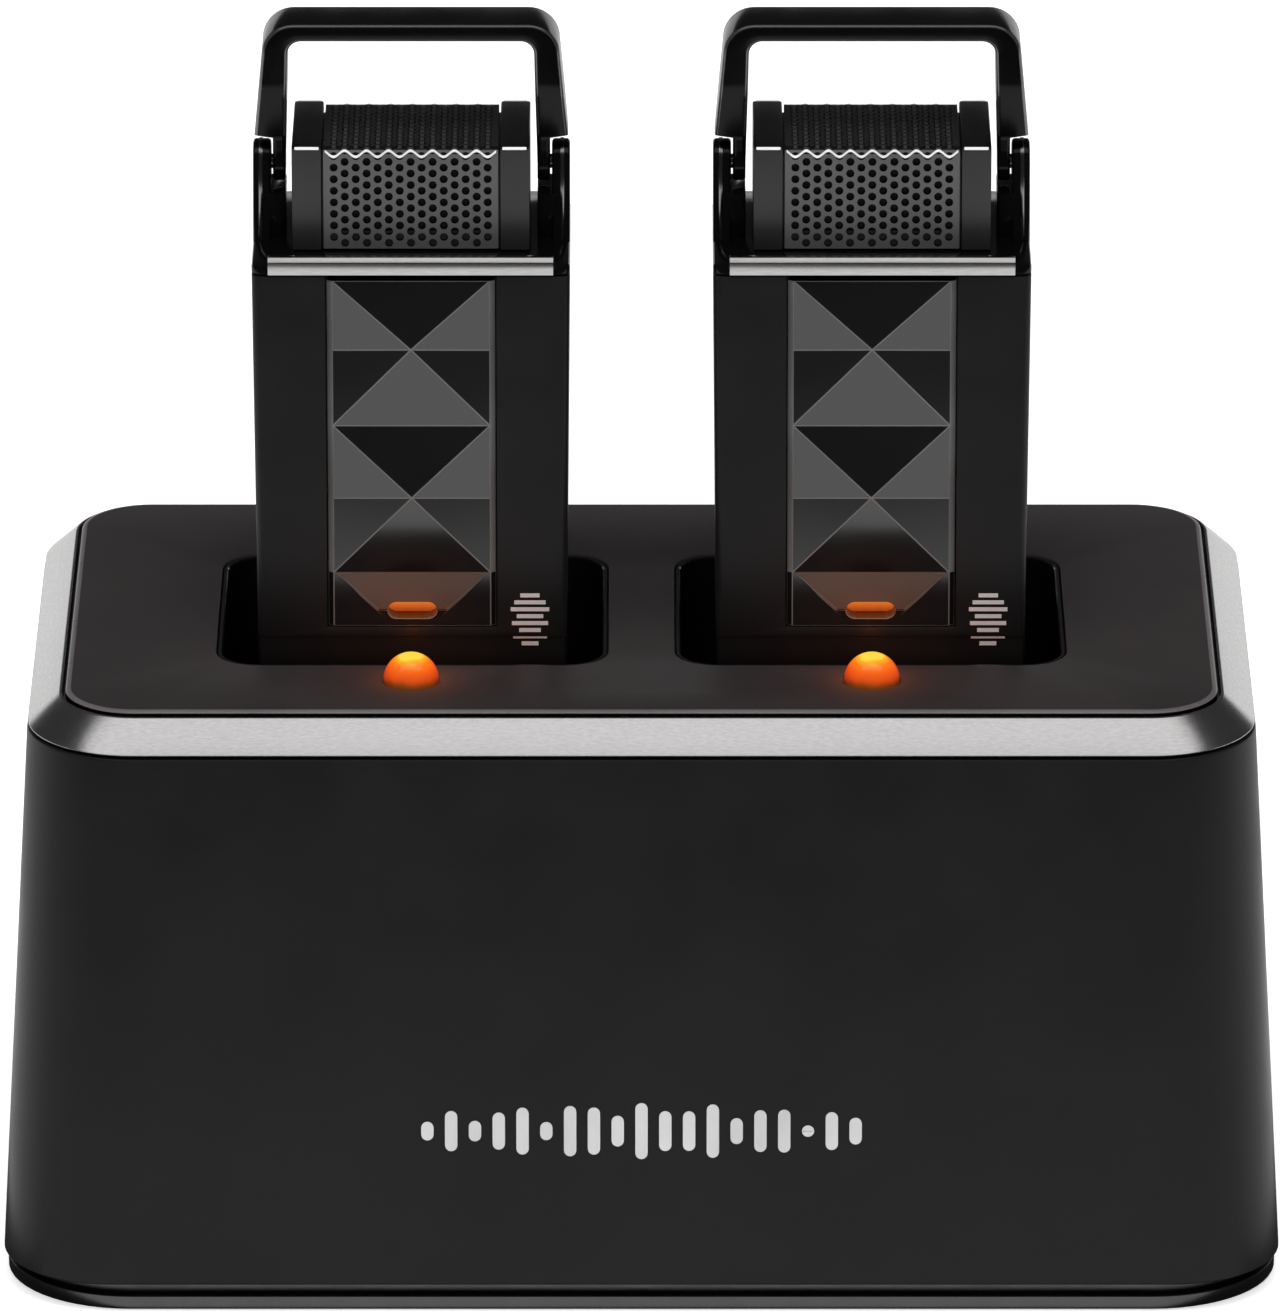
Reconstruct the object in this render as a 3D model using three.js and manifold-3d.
// A charging dock with two wireless pendant transmitters standing in its pockets.
// Millimetres, +Z up. The origin is on the table, under the middle of the dock. The front faces -Y.
import * as THREE from 'three';
import { mergeVertices } from 'three/addons/utils/BufferGeometryUtils.js';
import Module from 'manifold-3d';

const wasm = await Module();
wasm.setup();

// ---------------------------------------------------------------- driving dimensions, dock
const CORNER_STEPS = 5; // straight pieces in each rounded corner
const ROUND_STEPS = 16; // straight pieces round a small pin, post or hole

const RING_OUTER = { halfWidth: 50.65, halfDepth: 28.6, radius: 9 };
const RING_CHAMFER_IN = 2.7;
const HOUSING_TOP = 48.05;
const RING_BOTTOM = 48.35;
const RING_TOP = 50.8;
const DECK_TOP = 51.2;
const DECK_THICKNESS = 1.8;
const DECK_EDGE = 50.75; // height of the deck's rim
const DECK_BEVEL = 1.2; // width of the slope from the deck's rim up to its flat
const RING_FLAT = 0.2; // the narrow flat on top of the ring, round the deck
const DECK_GAP = 0.3;

const HOUSING_BOTTOM = 2.5;
const HOUSING_WALL = 2.2;
const FLARE = 2.45; // how far the housing's foot stands out past its top

const BASE = { halfWidth: 52.85, halfDepth: 30.35, radius: 10.5 };
const BASE_BOTTOM = 0.1;
const BASE_STRIP_TOP = 1.35;
const BASE_TOP = 2.4;
const BASE_LIP_TOP = 5;
const FOOT = { x: 44, y: 21, radius: 4, height: 1 };
const SCREW = { x: 34, y: 21, headRadius: 2.3, shankRadius: 1.15, headTop: 1.4, tip: 9 };
const POST_RADIUS = 3;

const BOARD = { halfWidth: 40, halfDepth: 24, bottom: 31, top: 32.6 };
const POCKET_SPACING = 38;
const POCKET = { y: -1, halfWidth: 15.75, halfDepth: 13.05, radius: 3, floorTop: 39.1, wall: 1.2, collar: 0.4 };
const PIN_SPACING = 6;
const INDICATOR = { y: -17.95, radius: 2.3, flange: 2.6, domeHeight: 2.3 };
const USB = { halfWidth: 4.5, height: 3.2, depth: 7.4, front: 29.3 };

// ---------------------------------------------------------------- driving dimensions, transmitter
// Its own frame has its origin at the middle of its underside.
const TRANSMITTER_Z = 39.4; // height of the underside when it stands in its pocket
const BODY = { halfWidthLow: 12.72, halfWidthHigh: 13.1, halfDepth: 9.8, frontRadius: 0.9, backRadius: 3 };
const BODY_TOP = 44.1;
const SKIRT_TOP = 12.5; // below this the front stands back a little
const SHELL_WALL = 1.3;
const SPLIT_Y = -6.4; // where the front cover meets the rear shell
const LEDGE = 45.1; // top of the plate that the head stands on

const PANEL = { halfWidth: 6.95, top: 43.6, bottom: 13.4, back: -7.6 };
const PANEL_DEPTHS = { apex: -10.3, corner: -9.45, side: -9.05, chin: -9.65 };
const BAND = { halfWidth: 11.75, back: -9, front: -9.95, top: 45.7 };

const ARM = { inner: 11.6, outer: 13.1, footHalfDepth: 3.4, stepInner: 10.4, stepHalfDepth: 2.8, stepTop: 48.9 };
const PIVOT_Z = 50.9;
const ARM_TOP_RADIUS = 1.9;
const BAIL = { innerTopHalf: 10.15, innerLowHalf: 10.4, outerTopHalf: 12.28, outerLowHalf: 12.98, tongueHalf: 11.45,
  top: 63.5, innerTop: 62.02, shoulder: 53.3, halfDepth: 2.65, halfDepthLow: 1.4, flareTop: 57.5,
  tongueRadius: 1.6, outerRadius: 2.6, innerRadius: 1.1 };
const PIVOT_PIN_RADIUS = 0.6;

const HEAD = { halfWidth: 9.8, halfDepth: 6.3, bottom: 45.2, floorTop: 46.7, top: 54.15, round: 0.5, endInner: 7.35 };
const GRILLE = { halfWidth: 7.2, halfDepth: 6.1, top: 53.95, thickness: 0.4 };
const LENS = { z: 14.8, halfWidth: 1.95, halfHeight: 0.65, front: -10.1, back: -8.4 };
const BUTTON = { z: 40.4, radius: 2.2, front: 10.3, back: 8, flange: 2.9, flangeBack: 7.3 };
const CLIP = { pivotY: 12.2, pivotZ: 33, halfWidth: 5.5, knuckle: 1.7, lugInner: 5.8, lugOuter: 7.2, pin: 0.6 };

const RUNNING_GAP = 0.15; // between a pin and its hole
const PART_GAP = 0.1; // between two pieces that are fastened together

// ---------------------------------------------------------------- finishes
const finish = (color, roughness, metalness = 0) => new THREE.MeshStandardMaterial({ color, roughness, metalness });
const finishes = {
  housing: () => finish(0x1d1d1e, 0.42),
  ring: () => finish(0xc9c8c7, 0.28, 1),
  deck: () => finish(0x2b2829, 0.5),
  liner: () => finish(0x0a0a0b, 0.14),
  base: () => finish(0x3f4042, 0.4),
  rubber: () => finish(0x101010, 0.85),
  steel: () => finish(0x9b9c9e, 0.3, 1),
  board: () => finish(0x14452c, 0.55),
  gold: () => finish(0xd0a545, 0.25, 1),
  amber: () => finish(0xff6a10, 0.2),
  body: () => finish(0x1b1b1c, 0.48),
  facet: () => finish(0x2a2a2b, 0.32),
  gloss: () => finish(0x0b0b0c, 0.16),
  head: () => finish(0x3b3b3c, 0.5),
  mesh: () => finish(0x3a3a3b, 0.45, 1),
  foam: () => finish(0x0c0c0c, 0.95),
  cell: () => finish(0x5c6f86, 0.4),
};

// ---------------------------------------------------------------- solids
const SIDES = [-1, 1];

/** A closed geometry as a manifold-3d solid. */
function toSolid(geometry) {
  const bare = geometry.index ? geometry.toNonIndexed() : geometry.clone();
  bare.deleteAttribute('normal');
  bare.deleteAttribute('uv');
  const merged = mergeVertices(bare, 1e-4);
  const triVerts = new Uint32Array(merged.index.array);
  return new wasm.Manifold(new wasm.Mesh({ numProp: 3, vertProperties: merged.attributes.position.array, triVerts }));
}

/** A manifold-3d solid as a geometry. */
function toGeometry(solid) {
  const { vertProperties, triVerts } = solid.getMesh();
  const geometry = new THREE.BufferGeometry();
  geometry.setAttribute('position', new THREE.BufferAttribute(new Float32Array(vertProperties), 3));
  geometry.setIndex(new THREE.BufferAttribute(new Uint32Array(triVerts), 1));
  geometry.computeVertexNormals();
  return geometry;
}

const join = (first, ...rest) => rest.reduce((whole, piece) => whole.add(piece), first);
const cut = (first, ...rest) => rest.reduce((whole, piece) => whole.subtract(piece), first);

/** Outline of a rounded rectangle, anticlockwise. The front corners (low y) may have their own radius. */
function outline(halfWidth, halfDepth, backRadius, frontRadius = backRadius, y = 0) {
  const corners = [[1, 1, backRadius], [-1, 1, backRadius], [-1, -1, frontRadius], [1, -1, frontRadius]];
  return corners.flatMap(([sideX, sideY, radius], quarter) =>
    Array.from({ length: CORNER_STEPS + 1 }, (_, step) => {
      const angle = (quarter + step / CORNER_STEPS) * Math.PI / 2;
      return new THREE.Vector2(
        sideX * (halfWidth - radius) + radius * Math.cos(angle),
        y + sideY * (halfDepth - radius) + radius * Math.sin(angle),
      );
    }));
}

/** A closed solid through outlines that have the same number of points, given as [z, points] from low to high. */
function loft(levels) {
  const count = levels[0][1].length;
  const positions = levels.flatMap(([z, points]) => points.flatMap((point) => [point.x, point.y, z]));
  const index = [];
  for (let level = 0; level < levels.length - 1; level++) {
    for (let i = 0; i < count; i++) {
      const a = level * count + i;
      const b = level * count + ((i + 1) % count);
      index.push(a, b, b + count, a, b + count, a + count);
    }
  }
  const last = (levels.length - 1) * count;
  for (const [a, b, c] of THREE.ShapeUtils.triangulateShape(levels[0][1], [])) {
    index.push(a, c, b, last + a, last + b, last + c);
  }
  const geometry = new THREE.BufferGeometry();
  geometry.setAttribute('position', new THREE.Float32BufferAttribute(positions, 3));
  geometry.setIndex(index);
  return toSolid(geometry);
}

const prism = (points, low, high) => loft([[low, points], [high, points]]);

const ALONG_X = new THREE.Matrix4().set(0, 0, 1, 0, 1, 0, 0, 0, 0, 1, 0, 0, 0, 0, 0, 1);
const ALONG_Y = new THREE.Matrix4().makeRotationX(Math.PI / 2);

/** A shape drawn in y and z, extruded from x = low to x = high. */
function extrudeAlongX(shape, low, high, curveSegments = ROUND_STEPS) {
  const geometry = new THREE.ExtrudeGeometry(shape, { depth: high - low, bevelEnabled: false, curveSegments });
  return toSolid(geometry.translate(0, 0, low).applyMatrix4(ALONG_X));
}

/** A shape drawn in x and z, extruded from y = low to y = high. */
function extrudeAlongY(shape, low, high, curveSegments = ROUND_STEPS) {
  const geometry = new THREE.ExtrudeGeometry(shape, { depth: high - low, bevelEnabled: false, curveSegments });
  return toSolid(geometry.translate(0, 0, -high).applyMatrix4(ALONG_Y));
}

function box(x0, x1, y0, y1, z0, z1) {
  const geometry = new THREE.BoxGeometry(x1 - x0, y1 - y0, z1 - z0);
  return toSolid(geometry.translate((x0 + x1) / 2, (y0 + y1) / 2, (z0 + z1) / 2));
}

/** A round bar that stands on (x, y), from z = low to z = high. */
function post(x, y, radius, low, high, steps = ROUND_STEPS) {
  const geometry = new THREE.CylinderGeometry(radius, radius, high - low, steps).rotateX(Math.PI / 2);
  return toSolid(geometry.translate(x, y, (low + high) / 2));
}

/** A round bar along X, centred on (y, z). */
function barX(y, z, radius, low, high, steps = ROUND_STEPS) {
  const geometry = new THREE.CylinderGeometry(radius, radius, high - low, steps).rotateZ(-Math.PI / 2);
  return toSolid(geometry.translate((low + high) / 2, y, z));
}

/** A round bar along Y, centred on (x, z). */
function barY(x, z, radius, low, high, steps = ROUND_STEPS) {
  const geometry = new THREE.CylinderGeometry(radius, radius, high - low, steps);
  return toSolid(geometry.translate(x, (low + high) / 2, z));
}

/** A turned piece: [radius, z] pairs from its lowest point on the axis to its highest, turned about a vertical axis. */
function turned(profile, x = 0, y = 0, steps = ROUND_STEPS) {
  const points = profile.map(([radius, z]) => new THREE.Vector2(radius, z));
  const geometry = new THREE.LatheGeometry(points, steps).rotateX(Math.PI / 2);
  return toSolid(geometry.translate(x, y, 0));
}

/** One named node. */
function piece(name, material, solid) {
  const mesh = new THREE.Mesh(toGeometry(solid), material());
  mesh.name = name;
  return mesh;
}

// ---------------------------------------------------------------- dock
/** How far the housing's wall stands out past the ring's foot at height z. */
function flare(z) {
  return FLARE * (HOUSING_TOP - z) / (HOUSING_TOP - HOUSING_BOTTOM);
}

/** The dock's plan, widened by an amount with the same corners, then moved in by a wall. */
function dockOutline(widen, inset = 0) {
  const out = widen - inset;
  return outline(RING_OUTER.halfWidth + out, RING_OUTER.halfDepth + out, RING_OUTER.radius - inset);
}

function housingLoft(inset, low, high) {
  return loft([low, high].map((z) => [z, dockOutline(flare(z), inset)]));
}

function dockHousing() {
  const wallEnd = 29; // inside the wall's thickness at every height of a rib
  const ribs = SIDES.flatMap((sideX) => SIDES.map((sideY) => {
    const ends = [sideY * SCREW.y, sideY * wallEnd].sort((a, b) => a - b);
    return box(sideX * SCREW.x - 0.8, sideX * SCREW.x + 0.8, ...ends, BASE_LIP_TOP + 0.3, BOARD.bottom - 2);
  }));
  const posts = SIDES.flatMap((sideX) => SIDES.map((sideY) =>
    post(sideX * SCREW.x, sideY * SCREW.y, POST_RADIUS, 2.8, BOARD.bottom - PART_GAP)));
  const pilots = SIDES.flatMap((sideX) => SIDES.map((sideY) =>
    post(sideX * SCREW.x, sideY * SCREW.y, SCREW.shankRadius + RUNNING_GAP, 2, SCREW.tip + 2, 12)));
  const shell = cut(housingLoft(0, HOUSING_BOTTOM, HOUSING_TOP), housingLoft(HOUSING_WALL, 2, HOUSING_TOP + 0.5));
  const socketHole = usbOutline(PART_GAP * 2, 20, 40);
  return cut(join(shell, ...ribs, ...posts), ...pilots, socketHole);
}

function trimRing() {
  const opening = HOUSING_WALL + 2.5;
  const chamfer = loft([[RING_BOTTOM, dockOutline(0)], [RING_TOP, dockOutline(0, RING_CHAMFER_IN)]]);
  const lip = prism(dockOutline(0, HOUSING_WALL + 0.25), RING_BOTTOM - 1.8, RING_BOTTOM + 0.5);
  const deckSeat = DECK_TOP - DECK_THICKNESS - PART_GAP;
  const recess = prism(dockOutline(0, RING_CHAMFER_IN + RING_FLAT), deckSeat, DECK_TOP + 1);
  return cut(join(chamfer, lip), recess, prism(dockOutline(0, opening), RING_BOTTOM - 3, DECK_TOP));
}

function pocketOutline(side, grow = 0) {
  const { y, halfWidth, halfDepth, radius } = POCKET;
  const points = outline(halfWidth + grow, halfDepth + grow, radius + grow, radius + grow, y);
  return points.map((point) => new THREE.Vector2(point.x + side * POCKET_SPACING / 2, point.y));
}

function deckPlate() {
  const inset = RING_CHAMFER_IN + RING_FLAT + DECK_GAP;
  const plate = loft([
    [DECK_TOP - DECK_THICKNESS, dockOutline(0, inset)],
    [DECK_EDGE, dockOutline(0, inset)],
    [DECK_TOP, dockOutline(0, inset + DECK_BEVEL)],
  ]);
  const openings = SIDES.flatMap((side) => [
    prism(pocketOutline(side, POCKET.collar + PART_GAP), DECK_TOP - 5, DECK_TOP + 5),
    post(side * POCKET_SPACING / 2, INDICATOR.y, INDICATOR.radius + RUNNING_GAP, DECK_TOP - 5, DECK_TOP + 5),
  ]);
  return cut(plate, ...openings);
}

/** The cup in one deck opening. A thin collar lines the opening, and the floor has a guide for each charging pin. */
function pocketLiner(side) {
  const { wall, floorTop, collar } = POCKET;
  const top = DECK_TOP - DECK_THICKNESS - PART_GAP;
  const floorBottom = floorTop - 1.5;
  const pins = SIDES.map((pin) => (side * POCKET_SPACING + pin * PIN_SPACING) / 2);
  const cup = prism(pocketOutline(side, wall), floorBottom, top);
  const flange = prism(pocketOutline(side, wall + 0.3), top - 1, top);
  const rim = prism(pocketOutline(side, collar), top - 1, DECK_TOP - PART_GAP);
  const guides = pins.map((x) => post(x, 0, 2.1, BOARD.top + 0.7, floorBottom + 0.2));
  return cut(
    join(cup, flange, rim, ...guides),
    prism(pocketOutline(side), floorTop, DECK_TOP + 1),
    ...pins.map((x) => post(x, 0, 0.85, BOARD.top, floorTop + 1, 12)),
    ...pins.map((x) => post(x, 0, 1.5, BOARD.top, floorBottom - 0.2, 12)),
  );
}

/** A sprung charging pin: foot, collar and round-nosed plunger. */
function contactPin(x) {
  const tip = TRANSMITTER_Z;
  return turned([[0, 33.75], [0.5, 33.75], [0.5, 35.2], [1.2, 35.2], [1.2, 36], [0.6, 36], [0.6, tip - 0.4],
    [0.35, tip - 0.1], [0, tip]], x, 0, 10);
}

/** A clear dome over an LED, on a stem that stands on a flange below the deck. */
function indicatorLens(side) {
  const { radius, flange, domeHeight, y } = INDICATOR;
  const dome = Array.from({ length: 5 }, (_, step) => {
    const angle = (step / 4) * Math.PI / 2;
    return [step === 4 ? 0 : radius * Math.cos(angle), DECK_TOP + domeHeight * Math.sin(angle)];
  });
  const profile = [[0, 47.2], [flange, 47.2], [flange, 48.2], [radius, 48.2]];
  return turned([...profile, ...dome], side * POCKET_SPACING / 2, y);
}

function baseOutline(inset) {
  return outline(BASE.halfWidth - inset, BASE.halfDepth - inset, BASE.radius - inset);
}

function basePlate() {
  const strip = loft([
    [BASE_BOTTOM, baseOutline(0.35)],
    [BASE_BOTTOM + 0.3, baseOutline(0.05)],
    [BASE_STRIP_TOP, baseOutline(0)],
  ]);
  const neck = prism(baseOutline(0.9), BASE_STRIP_TOP - 0.2, BASE_TOP);
  const wall = flare(HOUSING_BOTTOM);
  const lip = cut(
    prism(dockOutline(wall, HOUSING_WALL + 0.3), BASE_TOP - 0.2, BASE_LIP_TOP),
    prism(dockOutline(wall, HOUSING_WALL + 1.7), BASE_TOP, BASE_LIP_TOP + 1),
  );
  const holes = SIDES.flatMap((sideX) => SIDES.flatMap((sideY) => [
    post(sideX * FOOT.x, sideY * FOOT.y, FOOT.radius + RUNNING_GAP, 0, FOOT.height + PART_GAP),
    post(sideX * SCREW.x, sideY * SCREW.y, SCREW.headRadius + 0.2, 0, SCREW.headTop + PART_GAP),
    post(sideX * SCREW.x, sideY * SCREW.y, SCREW.shankRadius + 0.3, 0, BASE_LIP_TOP, 12),
  ]));
  return cut(join(strip, neck, lip), ...holes);
}

function rubberFoot(sideX, sideY) {
  const { x, y, radius, height } = FOOT;
  const profile = [[0, 0], [radius - 0.4, 0], [radius, 0.4], [radius, height], [0, height]];
  return turned(profile, sideX * x, sideY * y);
}

/** A countersunk-pocket screw with a cross recess in its head. */
function baseScrew(sideX, sideY) {
  const { x, y, headRadius, shankRadius, headTop, tip } = SCREW;
  const profile = [[0, 0.5], [headRadius - 0.3, 0.5], [headRadius, 0.8], [headRadius, headTop],
    [shankRadius, headTop], [shankRadius, tip - 0.8], [0.3, tip], [0, tip]];
  const [cx, cy] = [sideX * x, sideY * y];
  return cut(
    turned(profile, cx, cy, 12),
    box(cx - 1.3, cx + 1.3, cy - 0.25, cy + 0.25, 0, 1.1),
    box(cx - 0.25, cx + 0.25, cy - 1.3, cy + 1.3, 0, 1.1),
  );
}

/** The board under the pockets, with notches that clear the housing's ribs, and a block of parts on its underside. */
function chargeBoard() {
  const plate = prism(outline(BOARD.halfWidth, BOARD.halfDepth, 4), BOARD.bottom, BOARD.top);
  return join(
    plate,
    box(-9, 9, -6, 6, BOARD.bottom - 1.2, BOARD.bottom + 0.2),
    box(-32, -22, 6, 16, BOARD.bottom - 2.2, BOARD.bottom + 0.2),
    box(22, 32, 6, 12, BOARD.bottom - 2.8, BOARD.bottom + 0.2),
  );
}

/** A flat-sided oval bar along Y at the socket's place, grown by an amount. */
function usbOutline(grow, front, back) {
  const { halfWidth, height } = USB;
  const half = height / 2 + grow;
  const middle = BOARD.top + PART_GAP + height / 2;
  const straight = halfWidth - height / 2;
  const shape = new THREE.Shape();
  shape.absarc(straight, middle, half, -Math.PI / 2, Math.PI / 2);
  shape.absarc(-straight, middle, half, Math.PI / 2, 1.5 * Math.PI);
  return extrudeAlongY(shape, front, back, 8);
}

function usbSocket() {
  const { front, depth, halfWidth, height } = USB;
  const middle = BOARD.top + PART_GAP + height / 2;
  return join(
    cut(usbOutline(0, front - depth, front), usbOutline(-0.35, front - depth + 1.2, front + 1)),
    box(-halfWidth + 1.2, halfWidth - 1.2, front - depth + 1, front - 1, middle - 0.35, middle + 0.35),
  );
}

function dock() {
  const group = new THREE.Group();
  group.add(
    piece('dock_housing', finishes.housing, dockHousing()),
    piece('trim_ring', finishes.ring, trimRing()),
    piece('deck_plate', finishes.deck, deckPlate()),
    piece('base_plate', finishes.base, basePlate()),
    piece('charge_board', finishes.board, chargeBoard()),
    piece('usb_socket', finishes.steel, usbSocket()),
  );
  for (const [side, word] of [[-1, 'left'], [1, 'right']]) {
    group.add(
      piece(`pocket_liner_${word}`, finishes.liner, pocketLiner(side)),
      piece(`indicator_lens_${word}`, finishes.amber, indicatorLens(side)),
    );
    SIDES.forEach((pin, i) => {
      const x = (side * POCKET_SPACING + pin * PIN_SPACING) / 2;
      group.add(piece(`contact_pin_${word}_${i + 1}`, finishes.gold, contactPin(x)));
    });
    for (const [sideY, place] of [[-1, 'front'], [1, 'back']]) {
      group.add(
        piece(`foot_${place}_${word}`, finishes.rubber, rubberFoot(side, sideY)),
        piece(`base_screw_${place}_${word}`, finishes.steel, baseScrew(side, sideY)),
      );
    }
  }
  return group;
}

// ---------------------------------------------------------------- transmitter
/** The body's plan at a height, moved in by a wall. */
function bodyOutline(z, inset = 0) {
  const { halfWidthLow, halfWidthHigh, halfDepth, frontRadius, backRadius } = BODY;
  const halfWidth = halfWidthLow + (halfWidthHigh - halfWidthLow) * z / BODY_TOP;
  return outline(halfWidth - inset, halfDepth - inset, backRadius - inset / 2, Math.max(frontRadius - inset / 2, 0.2));
}

function bodyBlock() {
  return loft([[0, bodyOutline(0, 0.6)], [0.6, bodyOutline(0.6)], [BODY_TOP, bodyOutline(BODY_TOP)]]);
}

function bodyCavity() {
  const high = BODY_TOP + 1;
  return loft([[SHELL_WALL, bodyOutline(SHELL_WALL, SHELL_WALL)], [high, bodyOutline(high, SHELL_WALL)]]);
}

function frontCover() {
  const { halfWidth, top, bottom } = PANEL;
  const front = cut(bodyBlock(), box(-20, 20, SPLIT_Y, 20, -1, 60));
  const slot = box(-halfWidth - PART_GAP, halfWidth + PART_GAP, -12, -6, bottom - PART_GAP, top + 5);
  const skirt = box(-20, 20, -12, -BODY.halfDepth + 0.35, -1, SKIRT_TOP);
  return cut(front, bodyCavity(), slot, skirt);
}

/** The faceted strip down the front. Each of its two cells rises to a point, and is lowest at its two sides. */
function facetPanel() {
  const { halfWidth, top, bottom, back } = PANEL;
  const { apex, corner, side, chin } = PANEL_DEPTHS;
  // Rows run from the top down. Each has left, middle and right points as [x, y, z].
  const row = (z, edge, middle, middleZ = z) => [[-halfWidth, edge, z], [0, middle, middleZ], [halfWidth, edge, z]];
  const rows = [
    row(top, corner, corner),
    row(37.45, side, apex, 37.9),
    row(31, corner, corner),
    row(24.5, side, apex, 24.95),
    row(18.1, corner, corner),
    row(15, chin, chin),
    row(bottom, chin, chin),
  ];
  const count = rows.length * 3;
  const front = rows.flat();
  const points = [...front, ...front.map(([x, , z]) => [x, back, z])];
  const index = [];
  // Each cell half is three facets: one from corner to corner through the middle, and one on each side of it.
  const fans = [[0, 1, 'down'], [1, 2, 'up'], [2, 3, 'down'], [3, 4, 'up'], [4, 5, 'flat'], [5, 6, 'flat']];
  for (const [upper, lower, kind] of fans) {
    const [ul, um, ur] = [0, 1, 2].map((i) => upper * 3 + i);
    const [ll, lm, lr] = [0, 1, 2].map((i) => lower * 3 + i);
    if (kind === 'down') index.push(ul, lm, um, um, lm, ur, ul, ll, lm, ur, lm, lr);
    else index.push(ul, ll, um, um, ll, lm, um, lm, lr, um, lr, ur);
    // The back repeats the front's triangles, turned over.
    const faces = index.slice(-12);
    for (let i = 0; i < 12; i += 3) index.push(faces[i] + count, faces[i + 2] + count, faces[i + 1] + count);
    index.push(ul, ul + count, ll + count, ul, ll + count, ll);
    index.push(ur, lr, lr + count, ur, lr + count, ur + count);
  }
  const last = count - 3;
  for (const i of [0, 1]) {
    index.push(i, i + 1, i + 1 + count, i, i + 1 + count, i + count);
    index.push(last + i, last + i + count, last + i + 1 + count, last + i, last + i + 1 + count, last + i + 1);
  }
  const geometry = new THREE.BufferGeometry();
  geometry.setAttribute('position', new THREE.Float32BufferAttribute(points.flat(), 3));
  geometry.setIndex(index);
  return cut(toSolid(geometry), lensBar(PART_GAP, -12, -6));
}

/** A pill-shaped bar along Y at the status lens, grown by an amount. */
function lensBar(grow, front, back) {
  const { z, halfWidth, halfHeight } = LENS;
  const straight = halfWidth - halfHeight;
  const shape = new THREE.Shape();
  shape.absarc(straight, z, halfHeight + grow, -Math.PI / 2, Math.PI / 2);
  shape.absarc(-straight, z, halfHeight + grow, Math.PI / 2, 1.5 * Math.PI);
  return extrudeAlongY(shape, front, back, 8);
}

function statusLens() {
  const { z, halfWidth, front, back } = LENS;
  return join(lensBar(0, front, back), box(-halfWidth - 0.8, halfWidth + 0.8, -7.6, -6.6, z - 1.4, z + 1.4),
    lensBar(-0.2, back - 0.2, -7.4));
}

function rearShell() {
  const { pivotY, pivotZ, knuckle, lugInner, lugOuter, pin } = CLIP;
  const rear = cut(bodyBlock(), box(-20, 20, -20, SPLIT_Y + PART_GAP, -1, 60));
  const lugShape = new THREE.Shape();
  lugShape.moveTo(9.5, pivotZ - 4);
  lugShape.lineTo(pivotY, pivotZ - knuckle);
  lugShape.absarc(pivotY, pivotZ, knuckle, -Math.PI / 2, Math.PI / 2);
  lugShape.lineTo(9.5, pivotZ + 4);
  const lugs = SIDES.map((side) => {
    const ends = [side * lugInner, side * lugOuter].sort((a, b) => a - b);
    return extrudeAlongX(lugShape, ...ends, 8);
  });
  return cut(
    join(cut(rear, bodyCavity()), ...lugs.map((lug) => cut(lug, box(-20, 20, 0, 9.6, 0, 50)))),
    barX(pivotY, pivotZ, pin + RUNNING_GAP, -9, 9, 12),
    barY(0, BUTTON.z, BUTTON.radius + 0.2, 0, 12),
    box(-5.2, 5.2, -1.8, 1.8, -1, 2),
  );
}

/** The plate on top of the body and the two arms that carry the bail. */
function yokeFrame() {
  const plate = cut(
    prism(bodyOutline(BODY_TOP), BODY_TOP + PART_GAP, LEDGE),
    box(-BAND.halfWidth - PART_GAP, BAND.halfWidth + PART_GAP, -12, BAND.back + PART_GAP, 40, 50),
    post(0, 0, 2.5, 40, 50),
  );
  const { inner, outer, footHalfDepth, stepInner, stepHalfDepth, stepTop } = ARM;
  const rise = PIVOT_Z - LEDGE;
  const tangent = Math.acos(ARM_TOP_RADIUS / Math.hypot(footHalfDepth, rise)) - Math.atan2(rise, footHalfDepth);
  const arm = new THREE.Shape();
  arm.moveTo(-footHalfDepth, LEDGE - 0.5);
  arm.lineTo(footHalfDepth, LEDGE - 0.5);
  arm.lineTo(footHalfDepth, LEDGE);
  arm.absarc(0, PIVOT_Z, ARM_TOP_RADIUS, tangent, Math.PI - tangent);
  arm.lineTo(-footHalfDepth, LEDGE);
  const arms = SIDES.map((side) => {
    const ends = [side * inner, side * outer].sort((a, b) => a - b);
    // A step inside the arm fills the space under the bail's tongue.
    const stepEnds = [side * stepInner, side * (inner + 0.2)].sort((a, b) => a - b);
    const step = box(...stepEnds, -stepHalfDepth, stepHalfDepth, LEDGE - 0.2, stepTop);
    return join(extrudeAlongX(arm, ...ends, 10), step);
  });
  return cut(join(plate, ...arms), barX(0, PIVOT_Z, PIVOT_PIN_RADIUS + PART_GAP, -15, 15, 12));
}

function trimBand() {
  const { halfWidth, front, back, top } = BAND;
  const low = BODY_TOP + 0.15;
  const shape = new THREE.Shape();
  shape.moveTo(back, low);
  shape.lineTo(back, top);
  shape.lineTo(front + 0.25, top);
  shape.lineTo(front, top - 0.25);
  shape.lineTo(front, low);
  return extrudeAlongX(shape, -halfWidth, halfWidth);
}

/** Side view of the head with rounded top corners, as an outline in y and z. */
function headShape(halfDepth, bottom, top, round) {
  const shape = new THREE.Shape();
  shape.moveTo(-halfDepth, bottom);
  shape.lineTo(halfDepth, bottom);
  shape.absarc(halfDepth - round, top - round, round, 0, Math.PI / 2);
  shape.absarc(round - halfDepth, top - round, round, Math.PI / 2, Math.PI);
  return shape;
}

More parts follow.
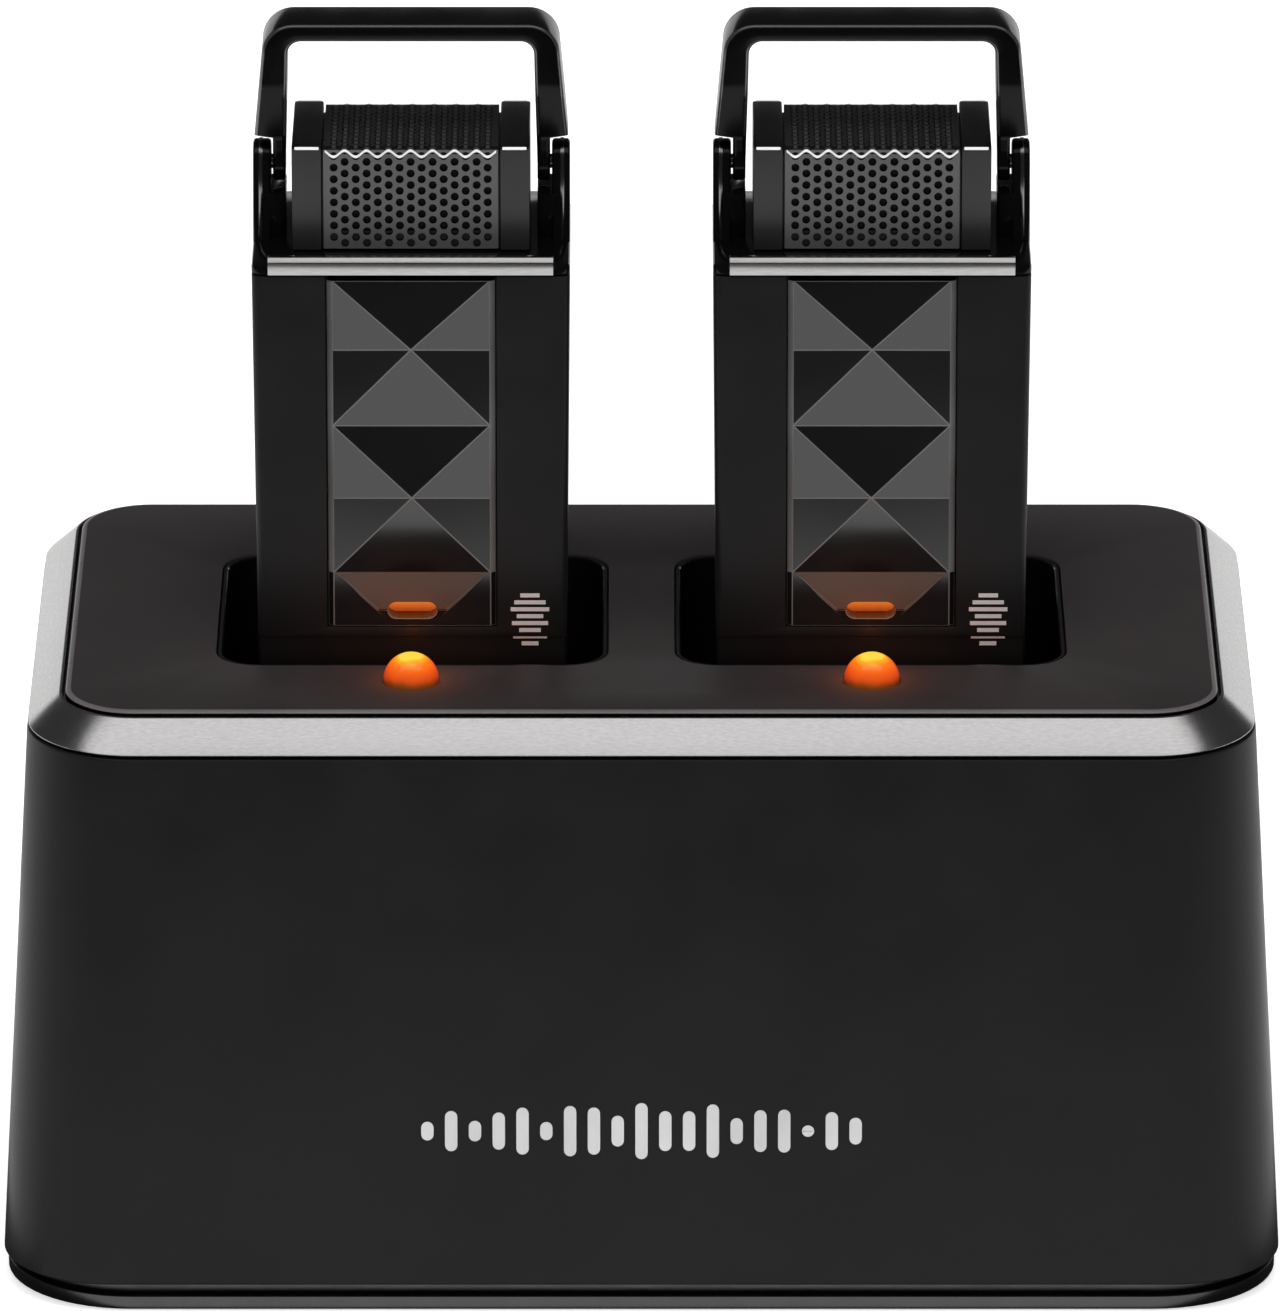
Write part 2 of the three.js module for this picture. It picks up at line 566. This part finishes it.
/** The head's floor and its two solid ends, one piece. */
function headCradle() {
  const { halfWidth, halfDepth, bottom, floorTop, top, round, endInner } = HEAD;
  const block = extrudeAlongX(headShape(halfDepth, bottom, top, round), -halfWidth, halfWidth, 5);
  const middle = box(-endInner, endInner, -10, 10, floorTop, 60);
  return cut(block, middle, post(0, 0, 1.8, 40, 50, 12));
}

/** The sheet that wraps over the front, top and back of the head between its ends. */
function micGrille() {
  const { halfWidth, halfDepth, top, thickness } = GRILLE;
  const bottom = HEAD.floorTop + PART_GAP;
  const outer = headShape(halfDepth, bottom, top, HEAD.round);
  const inner = headShape(halfDepth - thickness, bottom - 1, top - thickness, HEAD.round - thickness);
  return cut(
    extrudeAlongX(outer, -halfWidth, halfWidth, 6),
    extrudeAlongX(inner, -halfWidth - 1, halfWidth + 1, 6),
  );
}

function grilleFoam() {
  const bottom = HEAD.floorTop + PART_GAP;
  const block = headShape(GRILLE.halfDepth - GRILLE.thickness - 0.15, bottom, GRILLE.top - GRILLE.thickness - 0.15, 0.9);
  return cut(extrudeAlongX(block, -GRILLE.halfWidth + 0.1, GRILLE.halfWidth - 0.1, 4), post(0, 0, 3.35, 40, 51.2));
}

/** An electret capsule with a rolled rim and a hole in its face. */
function micCapsule() {
  const low = HEAD.floorTop + PART_GAP;
  return turned([[0, low], [2.6, low], [2.6, low + 0.5], [3.2, low + 0.5], [3.2, 50.6], [3, 50.8], [2.4, 50.8],
    [2.4, 50.6], [0.6, 50.6], [0.6, 50.1], [0, 50.1]]);
}

/** The loop for a lanyard. Each leg ends in a tongue that turns on a pin inside its arm. */
function bail() {
  const { innerTopHalf, innerLowHalf, outerTopHalf, outerLowHalf, tongueHalf, top, innerTop } = BAIL;
  const { shoulder, halfDepth, halfDepthLow, flareTop, tongueRadius, outerRadius, innerRadius } = BAIL;
  const tongueEnd = PIVOT_Z - tongueRadius;
  const front = new THREE.Shape();
  front.moveTo(tongueHalf, tongueEnd);
  front.lineTo(tongueHalf, shoulder);
  front.lineTo(outerLowHalf, shoulder);
  front.lineTo(outerTopHalf, top - outerRadius);
  front.absarc(outerTopHalf - outerRadius, top - outerRadius, outerRadius, 0, Math.PI / 2);
  front.absarc(outerRadius - outerTopHalf, top - outerRadius, outerRadius, Math.PI / 2, Math.PI);
  front.lineTo(-outerLowHalf, shoulder);
  front.lineTo(-tongueHalf, shoulder);
  front.lineTo(-tongueHalf, tongueEnd);
  front.lineTo(-innerLowHalf, tongueEnd);
  front.absarc(innerRadius - innerTopHalf, innerTop - innerRadius, innerRadius, Math.PI, Math.PI / 2, true);
  front.absarc(innerTopHalf - innerRadius, innerTop - innerRadius, innerRadius, Math.PI / 2, 0, true);
  front.lineTo(innerLowHalf, tongueEnd);
  // Seen from the side, each leg is round about its pivot and deeper towards the top.
  const side = new THREE.Shape();
  side.absarc(0, PIVOT_Z, tongueRadius, Math.PI, 2 * Math.PI);
  side.lineTo(halfDepthLow, shoulder);
  side.lineTo(halfDepth, flareTop);
  side.lineTo(halfDepth, top + 1);
  side.lineTo(-halfDepth, top + 1);
  side.lineTo(-halfDepth, flareTop);
  side.lineTo(-halfDepthLow, shoulder);
  const loop = extrudeAlongY(front, -halfDepth - 1, halfDepth + 1, 6).intersect(extrudeAlongX(side, -14, 14, 8));
  return cut(loop, barX(0, PIVOT_Z, PIVOT_PIN_RADIUS + RUNNING_GAP, -14, 14, 12));
}

/** A pin through an arm and a tongue, flush outside. */
function pivotPin(side) {
  return barX(0, PIVOT_Z, PIVOT_PIN_RADIUS, ...[side * 10.5, side * 13.05].sort((a, b) => a - b), 12);
}

/** The main board behind the front cover, and a shelf board above the battery that carries the button's switch. */
function circuitBoard() {
  return join(
    box(-9.5, 9.5, -5.6, -4.6, 4, 43),
    box(-4, 4, -4.7, -3.6, 24, 32),
    box(2, 7, -4.7, -3.4, 8, 13),
    box(-6, 6, -4.7, 4.6, 37.2, 38.2),
    box(-2.2, 2.2, 3, 6.6, 38, 42.4),
  );
}

function battery() {
  const points = outline(8.6, 4, 1.2, 1.2, 1.4);
  return prism(points, 6, 36);
}

/** The insulator in the underside and the two charging pads moulded into it. */
function chargeContacts() {
  return join(
    box(-5, 5, -1.6, 1.6, 0.3, 2),
    box(-6, 6, -2.6, 2.6, 1.4, 2.6),
    ...SIDES.map((side) => post(side * PIN_SPACING / 2, 0, 1.1, 0.1, 1, 12)),
  );
}

function powerButton() {
  const { z, radius, front, back, flange, flangeBack } = BUTTON;
  return join(
    barY(0, z, radius, back, front - 0.2),
    barY(0, z, radius - 0.25, back, front),
    barY(0, z, flange, flangeBack, back),
  );
}

/** A sprung lever behind the body: a thumb tab above its pivot and a long arm with an inward tip below. */
function rearClip() {
  const { pivotY, pivotZ, halfWidth, knuckle, pin } = CLIP;
  const shape = new THREE.Shape();
  shape.moveTo(13.1, pivotZ);
  shape.lineTo(13.9, pivotZ + 4.3);
  shape.lineTo(13, pivotZ + 4.4);
  shape.lineTo(12, pivotZ + 1);
  shape.lineTo(12, pivotZ - 2);
  shape.lineTo(12.2, 18.5);
  shape.quadraticCurveTo(12, 17, 11, 16.2);
  shape.lineTo(10.7, 15.4);
  shape.lineTo(11, 14.7);
  shape.quadraticCurveTo(13.3, 15, 13.4, 19);
  shape.lineTo(13.2, pivotZ - 2);
  return cut(
    join(extrudeAlongX(shape, -halfWidth, halfWidth, 5), barX(pivotY, pivotZ, knuckle, -halfWidth, halfWidth, 16)),
    barX(pivotY, pivotZ, pin + RUNNING_GAP, -9, 9, 12),
  );
}

function transmitter(word) {
  const { pivotY, pivotZ, pin } = CLIP;
  const group = new THREE.Group();
  const add = (name, material, solid) => group.add(piece(`${word}_${name}`, material, solid));
  add('front_cover', finishes.body, frontCover());
  add('facet_panel', finishes.facet, facetPanel());
  add('rear_shell', finishes.body, rearShell());
  add('yoke_frame', finishes.gloss, yokeFrame());
  add('trim_band', finishes.ring, trimBand());
  add('head_cradle', finishes.head, headCradle());
  add('mic_grille', finishes.mesh, micGrille());
  add('grille_foam', finishes.foam, grilleFoam());
  add('mic_capsule', finishes.steel, micCapsule());
  add('bail', finishes.gloss, bail());
  add('pivot_pin_1', finishes.steel, pivotPin(-1));
  add('pivot_pin_2', finishes.steel, pivotPin(1));
  add('status_lens', finishes.amber, statusLens());
  add('circuit_board', finishes.board, circuitBoard());
  add('battery', finishes.cell, battery());
  add('charge_contacts', finishes.gold, chargeContacts());
  add('power_button', finishes.gloss, powerButton());
  add('rear_clip', finishes.gloss, rearClip());
  add('clip_pin', finishes.steel, barX(pivotY, pivotZ, pin, -7.4, 7.4, 12));
  return group;
}

// ---------------------------------------------------------------- the whole object
const set = new THREE.Group();
set.add(dock());
for (const [side, word] of [[-1, 'left'], [1, 'right']]) {
  const unit = transmitter(word);
  unit.position.set(side * POCKET_SPACING / 2, 0, TRANSMITTER_Z);
  set.add(unit);
}

export default set;
